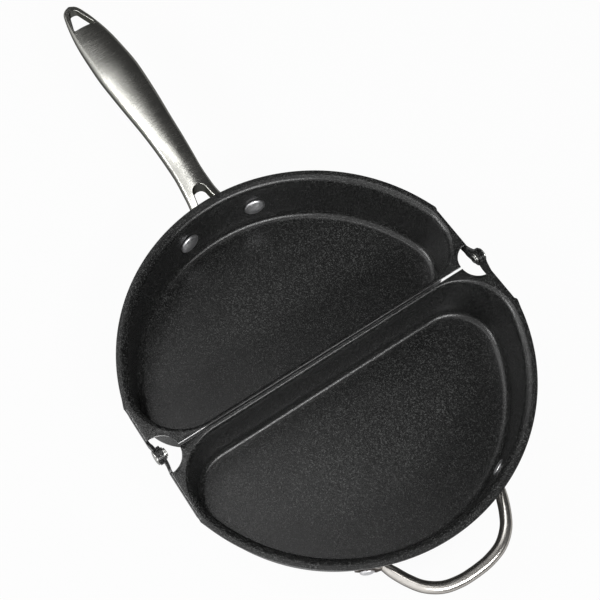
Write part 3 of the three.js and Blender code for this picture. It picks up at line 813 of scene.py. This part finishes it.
def wall_radius(height):
    """Radius of the round wall's inner face: the draft is taken off evenly on the way down."""
    return WELL_RADIUS - ROUND_DRAFT * ((-height - SHOULDER) / WALL_SPAN)


def on_wall(across, height, away):
    """Point at a distance from the outer face of the round wall, which is a cone."""
    radius = wall_radius(height) + SHEET + SEAT_GAP + away
    y = RIM_CENTRE + np.sqrt(np.maximum(radius ** 2 - across ** 2, 0.0))
    return np.stack([across, y, height + 0.0 * across], axis=-1)


def wall_plate():
    """Closed plate on the wall: a profile of inset and distance carried along a stadium."""
    straight = PLATE_HALF_SPAN - PLATE_HALF_HEIGHT
    run = np.linspace(straight, -straight, END_POINTS + 1)[1:-1]
    right_turn = np.linspace(-math.pi / 2, math.pi / 2, END_POINTS)
    centre = np.concatenate([np.full(END_POINTS, straight), run,
                             np.full(END_POINTS, -straight), run[::-1]])
    angle = np.concatenate([right_turn, np.full(len(run), math.pi / 2), right_turn + math.pi,
                            np.full(len(run), -math.pi / 2)])
    turn = quarter_turn(EDGE_POINTS)[1:]
    inset = np.concatenate([np.linspace(PLATE_HALF_HEIGHT, PLATE_EDGE, FACE_POINTS),
                            PLATE_EDGE * (1 - np.sin(turn)),
                            np.linspace(0.0, PLATE_HALF_HEIGHT, FACE_POINTS)])
    away = np.concatenate([np.full(FACE_POINTS, PLATE_THICKNESS),
                           PLATE_THICKNESS - PLATE_EDGE * (1 - np.cos(turn)),
                           np.zeros(FACE_POINTS)])
    round_off = PLATE_HALF_HEIGHT - inset[:, None]
    across, up = centre + round_off * np.cos(angle), round_off * np.sin(angle)
    return on_wall(across, RIVET_HEIGHT + up, away[:, None])


plate = wall_plate()
print("plate spans", plate[..., 0].min().round(1), "to", plate[..., 0].max().round(1), "mm")

# %% [markdown]
# The arms end half way through the plate, so that no gap shows and nothing reaches the coated
# wall. The left side mirrors the right one.

# %% The long handle
def seated(grid):
    """The grid with the arms' ends drawn back until they lie inside the plate."""
    limit = on_wall(grid[..., 0], grid[..., 2], PLATE_THICKNESS / 2)[..., 1]
    return np.stack([grid[..., 0], np.maximum(grid[..., 1], limit), grid[..., 2]], axis=-1)


def handle_patches():
    """Both halves of the handle with their opening walls and end caps, and the plate."""
    mirror = np.array([-1.0, 1.0, 1.0])
    open_rows = np.flatnonzero(slots[:, 1] > 0.0)
    gap = np.flatnonzero(np.diff(open_rows) > 1)[0]
    runs = (slice(0, open_rows[gap] + 2), slice(open_rows[gap + 1] - 1, open_rows[-1] + 2))
    patches = [(plate, True)]
    for side in (np.ones(3), mirror):
        faces = [upper, under, *(opening_wall[run] for run in runs)]
        faces += [np.stack([upper[row], under[row]]) for row in (0, -1)]
        patches += [(seated(face) * side, False) for face in faces]
    return patches


add_piece("long_handle_body", mesh_of("long_handle_body", handle_patches()),
          "long_handle", brushed, 32.0)

# %% [markdown]
# ## Rivets
# A rivet is a shape of revolution: a profile of radius and place along the axis, turned once
# round. It runs over the head's dome, down to the shank and over the formed end.

# %% A rivet from its profile
HEAD_EDGE, HEAD_UNDERCUT, DOME_POINTS, AROUND = 0.5, 0.15, 12, 48


def revolve(profile, point, axis):
    """The profile of radius and place along the axis, carried round an axis through the point."""
    axis = np.array(axis) / np.linalg.norm(axis)
    first = np.cross(axis, [0.0, 0.0, 1.0])
    first /= np.linalg.norm(first)
    second = np.cross(axis, first)
    angle = np.linspace(0.0, 2 * math.pi, AROUND, endpoint=False)[:, None]
    ring = np.cos(angle) * first + np.sin(angle) * second
    radius, along = np.array(profile).T
    return np.array(point) + radius[:, None, None] * ring + along[:, None, None] * axis


def dome(base, radius, height, side):
    """Profile of a domed end from its rim to the axis: a quarter ellipse on a short edge."""
    angle = quarter_turn(DOME_POINTS)
    rise = HEAD_EDGE + (height - HEAD_EDGE) * np.sin(angle)
    return np.column_stack([np.append(radius * np.cos(angle[:-1]), 0.0), base + side * rise])


def rivet_profile(head, shank, tail, head_base, tail_base):
    """Closed profile from the head's pole to the tail's pole; head and tail are radius, height."""
    return np.concatenate([
        dome(head_base, *head, -1)[::-1], [[head[0] - HEAD_UNDERCUT, head_base]],
        [[shank, head_base]], [[shank, tail_base]], [[tail[0] - HEAD_UNDERCUT, tail_base]],
        dome(tail_base, *tail, 1),
    ])


LONG_RIVET = (7.0, 2.8), 3.0, (5.2, 2.0)
LOOP_RIVET = (5.2, 1.6), 2.4, (4.2, 2.2)
print("points in a rivet's profile:", len(rivet_profile(*LONG_RIVET, 0.0, SHEET)))

# %% [markdown]
# Four rivets go square through the wall, two for each handle, with their large heads inside.

# %% Handle rivets
LONG_RIVET_SPAN, LOOP_SPAN, LOOP_EAR_THICKNESS = 24.5, 47.5, 3.0


def wall_frame(across, height):
    """Point on the inner face of the round wall and the direction square to it, outwards."""
    radius = wall_radius(height)
    angle = math.asin(across / radius)
    point = (across, RIM_CENTRE + radius * math.cos(angle), height)
    return point, (math.sin(angle), math.cos(angle), -ROUND_DRAFT / WALL_SPAN)


def add_wall_rivet(node, across, sizes, thickness, turned=False):
    """A rivet square through the wall and the piece it holds."""
    point, axis = wall_frame(across, RIVET_HEIGHT)
    hollow = sizes[0][0] ** 2 / (2 * (point[1] - RIM_CENTRE))
    profile = rivet_profile(*sizes, -(hollow + SEAT_GAP), SHEET + thickness + 2 * SEAT_GAP)
    mesh = mesh_of(f"{node}_dome", [(revolve(profile, point, axis), True)], turned)
    add_piece(f"{node}_dome", mesh, node, satin)


for word, side in (("left", -1), ("right", 1)):
    add_wall_rivet(f"long_handle_rivet_{word}", LONG_RIVET_SPAN * side, LONG_RIVET, PLATE_THICKNESS)
    add_wall_rivet(f"loop_handle_rivet_{word}", -LOOP_SPAN * side, LOOP_RIVET, LOOP_EAR_THICKNESS,
                   turned=True)

# %% [markdown]
# ## The loop handle
# It is a round rod, bent to a bow, with both ends hammered flat and riveted to the wall. The
# section carried along the bow is a circle that becomes tall and thin at the ends, where its
# height follows the round outline of the flattened ear.

# %% Course and section of the loop
ROD_RADIUS, EAR_RADIUS, LOOP_REACH = 3.5, 7.5, 145.4
LOOP_SHARES = np.array([[0.00, 1.000], [0.20, 0.986], [0.42, 0.915], [0.60, 0.760],
                        [0.715, 0.565], [0.81, 0.330], [0.88, 0.130]])
EAR_STOPS = np.array([-3.9, 0.0, 4.0, EAR_RADIUS])
NECK_LIFT, DENSE_END, COURSE_POINTS, DENSE_POINTS = 1.4, 8.0, 60, 22


def loop_course():
    """Middle line of the right half of the loop in plan, from its top to the ear's far end."""
    wall_y = wall_frame(LOOP_SPAN, RIVET_HEIGHT)[0][1]
    bow = LOOP_SHARES * [LOOP_SPAN, LOOP_REACH - wall_y] + [0.0, wall_y]
    height = np.full(len(EAR_STOPS), RIVET_HEIGHT)
    seat = on_wall(LOOP_SPAN + EAR_STOPS, height, LOOP_EAR_THICKNESS / 2)[:, :2]
    seat[0, 1] += NECK_LIFT
    points = through(np.concatenate([bow, seat]), np.linspace(0.0, 1.0, 400))
    steps = np.append(0.0, np.cumsum(np.linalg.norm(np.diff(points, axis=0), axis=1)))
    dense = steps[-1] - DENSE_END * (1.0 - np.sin(quarter_turn(DENSE_POINTS)))
    even = np.append(np.linspace(0.0, steps[-1] - DENSE_END, COURSE_POINTS)[:-1], dense)
    return np.column_stack([np.interp(even, steps, points[:, axis]) for axis in (0, 1)])


half_course = loop_course()
print("the bow reaches y", half_course[0, 1].round(1), "and x", half_course[-1, 0].round(1))

# %% [markdown]
# The bow is flat, so one direction of the section is straight up and the other lies in plan,
# square to the course. A superellipse makes the ears slightly boxy while the rod stays round.

# %% The loop handle
THIN_START, TALL_START, EAR_FULL, BOXINESS, RING_POINTS = 37.0, 39.5, 45.5, 0.45, 40


def loop_grid():
    """Rings of the section carried along the whole bow, from the left ear to the right ear."""
    course_xy = np.concatenate([half_course[:0:-1] * [-1.0, 1.0], half_course])
    ahead = np.gradient(course_xy, axis=0)
    ahead /= np.linalg.norm(ahead, axis=1, keepdims=True)
    out = np.column_stack([-ahead[:, 1], ahead[:, 0]])
    across = np.abs(course_xy[:, 0])
    flat = smooth_step(across, THIN_START, EAR_FULL)
    disc = np.sqrt(np.maximum(EAR_RADIUS ** 2 - (across - LOOP_SPAN) ** 2, 1e-3))
    tall = ROD_RADIUS + (disc - ROD_RADIUS) * smooth_step(across, TALL_START, EAR_FULL)
    thin = ROD_RADIUS + (LOOP_EAR_THICKNESS / 2 - ROD_RADIUS) * flat
    angle = np.linspace(0.0, 2 * math.pi, RING_POINTS, endpoint=False)
    power = 1.0 - BOXINESS * flat[:, None]
    wide = thin[:, None] * np.sign(np.cos(angle)) * np.abs(np.cos(angle)) ** power
    high = tall[:, None] * np.sign(np.sin(angle)) * np.abs(np.sin(angle)) ** power
    plan = course_xy[:, None, :] + wide[..., None] * out[:, None, :]
    return np.concatenate([plan, (RIVET_HEIGHT + high)[..., None]], axis=-1)


loop = loop_grid()
caps = [(np.stack([ring, np.broadcast_to(ring.mean(0), ring.shape)]), True)
        for ring in (loop[0], loop[-1])]
add_piece("loop_handle_rod", mesh_of("loop_handle_rod", [(loop, True), *caps], turned=True),
          "loop_handle", polished, 50.0)

# %% [markdown]
# ## The hinge
# On each side a rivet goes through both eyes, with its broad head outside and a thin washer
# under its smaller formed end. Both are shapes of revolution about the hinge line.

# %% Hinge rivets and washers
INNER_END, PIN_RADIUS, OUTER_HEAD = (2.7, 1.0), 2.0, (4.5, 1.5)
WASHER_RADIUS, WASHER_THICKNESS, CHAMFER, RUNNING_GAP = 3.6, 0.8, 0.12, 0.3
inner_face = flat_x(1) - EAR_JOG - SHEET
outer_face = inner_face + 2 * SHEET + RUNNING_GAP
washer_face = inner_face - SEAT_GAP - WASHER_THICKNESS
pin_profile = rivet_profile(INNER_END, PIN_RADIUS, OUTER_HEAD, washer_face - SEAT_GAP,
                            outer_face + SEAT_GAP)
bore = PIN_RADIUS + RUNNING_GAP
washer_profile = np.array([
    (bore, 0.0), (WASHER_RADIUS - CHAMFER, 0.0), (WASHER_RADIUS, CHAMFER),
    (WASHER_RADIUS, WASHER_THICKNESS - CHAMFER), (WASHER_RADIUS - CHAMFER, WASHER_THICKNESS),
    (bore, WASHER_THICKNESS), (bore, 0.0),
]) + [0.0, washer_face]

for word, end in (("left", -1.0), ("right", 1.0)):
    for kind, profile in (("rivet", pin_profile), ("washer", washer_profile)):
        name = f"hinge_{kind}_{word}"
        solid = revolve(profile, (0.0, 0.0, PIVOT_RISE), (end, 0.0, 0.0))
        mesh = mesh_of(name, [(solid, True)])
        add_piece(f"{name}_turned", mesh, name, hinge_steel)

# %% [markdown]
# ## Stage, light and camera
# The pan stands on a plain pale floor. Camera rays see it and the room as white paper, but a
# small share of its own shading is kept, which is the soft shadow under the pan.

# %% Floor
CAMERA_SHARE, MIRROR_SHARE, FLOOR_GREY = 0.96, 0.12, (0.5, 0.5, 0.5)


def floor_finish():
    """Pale floor that camera rays see as white paper, and reflections see in part."""
    finish, tree, shader = new_finish("studio_floor")
    set_inputs(tree, shader, {"Base Color": FLOOR_GREY, "Roughness": 0.9,
                              "Specular IOR Level": 0.1})
    glow = add_node(tree, "Emission", {"Color": WHITE})["Emission"]
    camera_ray, mirrored = ray_kinds(tree)
    share = sum_of(tree, sum_of(tree, camera_ray, CAMERA_SHARE, "MULTIPLY"),
                   sum_of(tree, mirrored, MIRROR_SHARE, "MULTIPLY"))
    mixed = add_node(tree, "MixShader", {"Fac": share, 1: shader.outputs["BSDF"], 2: glow})
    set_inputs(tree, tree.nodes["Material Output"], {"Surface": mixed["Shader"]})
    return finish


FLOOR_HALF, FLOOR_DROP = 6.0, 0.0004
corners = [(x * FLOOR_HALF, y * FLOOR_HALF, -FLOOR_DROP)
           for x, y in ((-1, -1), (1, -1), (1, 1), (-1, 1))]
floor_mesh = bpy.data.meshes.new("studio_floor")
floor_mesh.from_pydata(corners, [], [(0, 1, 2, 3)])
floor_mesh.materials.append(floor_finish())
floor = add_object("studio_floor", floor_mesh)
print("floor lies", FLOOR_DROP * 1000, "mm below the pan")

# %% [markdown]
# Steel has hardly any colour of its own, so what one sees on it is the room. Pale and dark
# bands make it look round, so a photographer hangs dark cloths in a white room. Reflections see
# such cloths in this world: on the right, low in front and low behind.

# %% World
ROOM_GREY, CLOTH_GREY = (0.18, 0.18, 0.18), (0.04, 0.04, 0.04)
# Direction of each cloth's middle, and the closeness to it where the cloth starts and is full.
CLOTHS = (((0.95, 0.0, 0.30), 0.10, 0.55), ((0.30, -0.95, 0.0), 0.60, 0.90),
          ((0.0, 0.94, 0.33), 0.86, 0.95))


def studio_world():
    """White to the camera, white with dark cloths in reflections, and even grey as light."""
    world = bpy.data.worlds.new("studio")
    world.use_nodes = True
    tree = world.node_tree
    place = add_node(tree, "TexCoord", {})["Generated"]
    cloth = 0.0
    for direction, start, end in CLOTHS:
        towards = tree.nodes.new("ShaderNodeVectorMath")
        towards.operation = "DOT_PRODUCT"
        set_inputs(tree, towards, {0: place, 1: direction})
        cloth = sum_of(tree, cloth, ramp(tree, towards.outputs["Value"], start, end))
    paper = blend_colours(tree, cloth, WHITE, CLOTH_GREY)
    camera_ray, mirrored = ray_kinds(tree)
    room = blend_colours(tree, mirrored, ROOM_GREY, paper)
    seen = blend_colours(tree, camera_ray, room, WHITE)
    set_inputs(tree, tree.nodes["Background"], {"Color": seen, "Strength": 1.0})
    bpy.context.scene.world = world


studio_world()
print("world ready")

# %% [markdown]
# A long strip hangs above the pan, in line with the handle, and draws the streak on it. Two
# narrow panels stand low on the left and in front, and draw the bright lines on the shoulder
# and round the floor of each well.

# %% Lamps
def add_panel(name, direction, distance, width, height, power):
    """A rectangular lamp in a direction from the pan's middle, turned to face it."""
    lamp = bpy.data.lights.new(name, "AREA")
    lamp.shape = "RECTANGLE"
    lamp.size, lamp.size_y, lamp.energy = width, height, power
    panel = add_object(name, lamp)
    towards = Vector(direction).normalized()
    panel.location = towards * distance
    panel.rotation_mode = "QUATERNION"
    panel.rotation_quaternion = (-towards).to_track_quat("-Z", "Y")
    print(name, "gives", power, "watts")


add_panel("top_panel", (-0.24, 0.42, 1.34), 1.46, 0.22, 1.65, 4.2)
add_panel("left_panel", (-0.78, 0.28, 0.56), 1.6, 0.70, 0.30, 13.0)
add_panel("front_panel", (0.05, -0.76, 0.65), 1.6, 0.90, 0.28, 15.5)

# %% [markdown]
# The camera was fitted to the photograph: its place, its azimuth, elevation and roll, and the
# lens, which follows from the perspective of the rim circles.

# %% Camera
CAMERA_PLACE = (-0.14707, -0.24477, 0.57961)
CAMERA_ANGLES = (-37.49, 64.91, 3.65)
FOCAL_PIXELS, FRAME_PIXELS, SENSOR = 999.89, 600.0, 36.0

azimuth, elevation, roll = map(math.radians, CAMERA_ANGLES)
back = Vector((math.sin(azimuth) * math.cos(elevation),
               -math.cos(azimuth) * math.cos(elevation), math.sin(elevation)))
level_right = Vector((math.cos(azimuth), math.sin(azimuth), 0.0))
level_up = back.cross(level_right)
right = math.cos(roll) * level_right + math.sin(roll) * level_up
up = -math.sin(roll) * level_right + math.cos(roll) * level_up
camera_data = bpy.data.cameras.new("photo_camera")
camera_data.sensor_width = SENSOR
camera_data.lens = SENSOR * FOCAL_PIXELS / FRAME_PIXELS
camera_data.clip_start = 0.01
camera = add_object("photo_camera", camera_data)
turned_to_pan = Matrix((right, up, back)).transposed().to_4x4()
camera.matrix_world = Matrix.Translation(CAMERA_PLACE) @ turned_to_pan
bpy.context.scene.camera = camera
bpy.context.scene.view_settings.view_transform = "Standard"
print("lens", round(camera_data.lens, 2), "mm")
